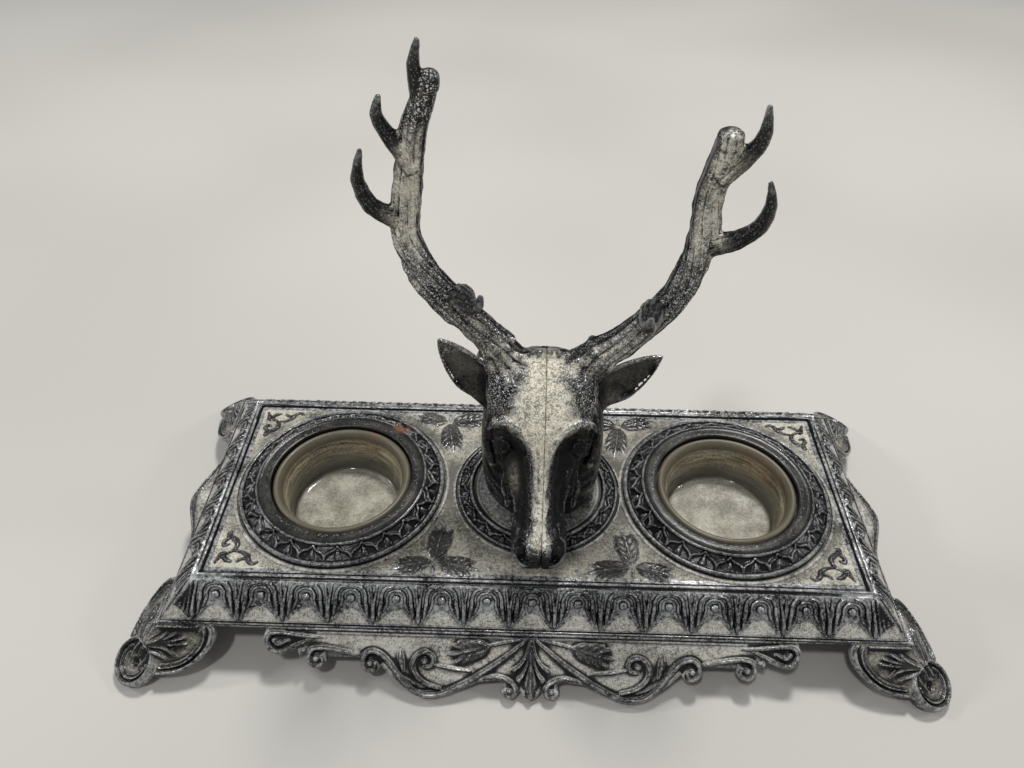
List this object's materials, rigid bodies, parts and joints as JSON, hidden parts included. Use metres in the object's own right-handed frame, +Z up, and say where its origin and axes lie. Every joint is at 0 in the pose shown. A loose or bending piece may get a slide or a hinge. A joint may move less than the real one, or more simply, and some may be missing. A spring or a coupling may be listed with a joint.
{
  "type": "desk inkstand",
  "caption": "Cast-iron footed desk inkstand with glass ink cups in leaf collars and a stag's head whose antlers rest pens.",
  "frame": {"origin": "on the table under the middle of the whole inkstand", "axes": "+X along the tray to the right, -Y to the front where the stag looks, +Z up"},
  "size_m": [0.2536, 0.126, 0.1727],
  "materials": {
    "japanned_iron": "worn black japan with grey dust on the flats",
    "head_iron": "worn black japan with grey dust on the forehead",
    "ink_glass": "clear pressed glass with a dusty floor",
    "screw_steel": "dull steel",
    "washer_brass": "dull brass"
  },
  "bodies": {
    "stand": {"base_casting": "japanned_iron", "head_left_half": "head_iron", "head_right_half": "head_iron", "left_head_screw": "screw_steel", "right_head_screw": "screw_steel", "left_screw_washer": "washer_brass", "right_screw_washer": "washer_brass", "forehead_dowel": "screw_steel", "neck_dowel": "screw_steel"},
    "left_cup": {"left_ink_cup": "ink_glass"},
    "right_cup": {"right_ink_cup": "ink_glass"}
  },
  "joints": [
    {"name": "left_cup_lift", "type": "slide", "parent": "stand", "child": "left_cup", "axis": [0, 0, 1], "range_m": [0, 0.04]},
    {"name": "right_cup_lift", "type": "slide", "parent": "stand", "child": "right_cup", "axis": [0, 0, 1], "range_m": [0, 0.04]}
  ]
}
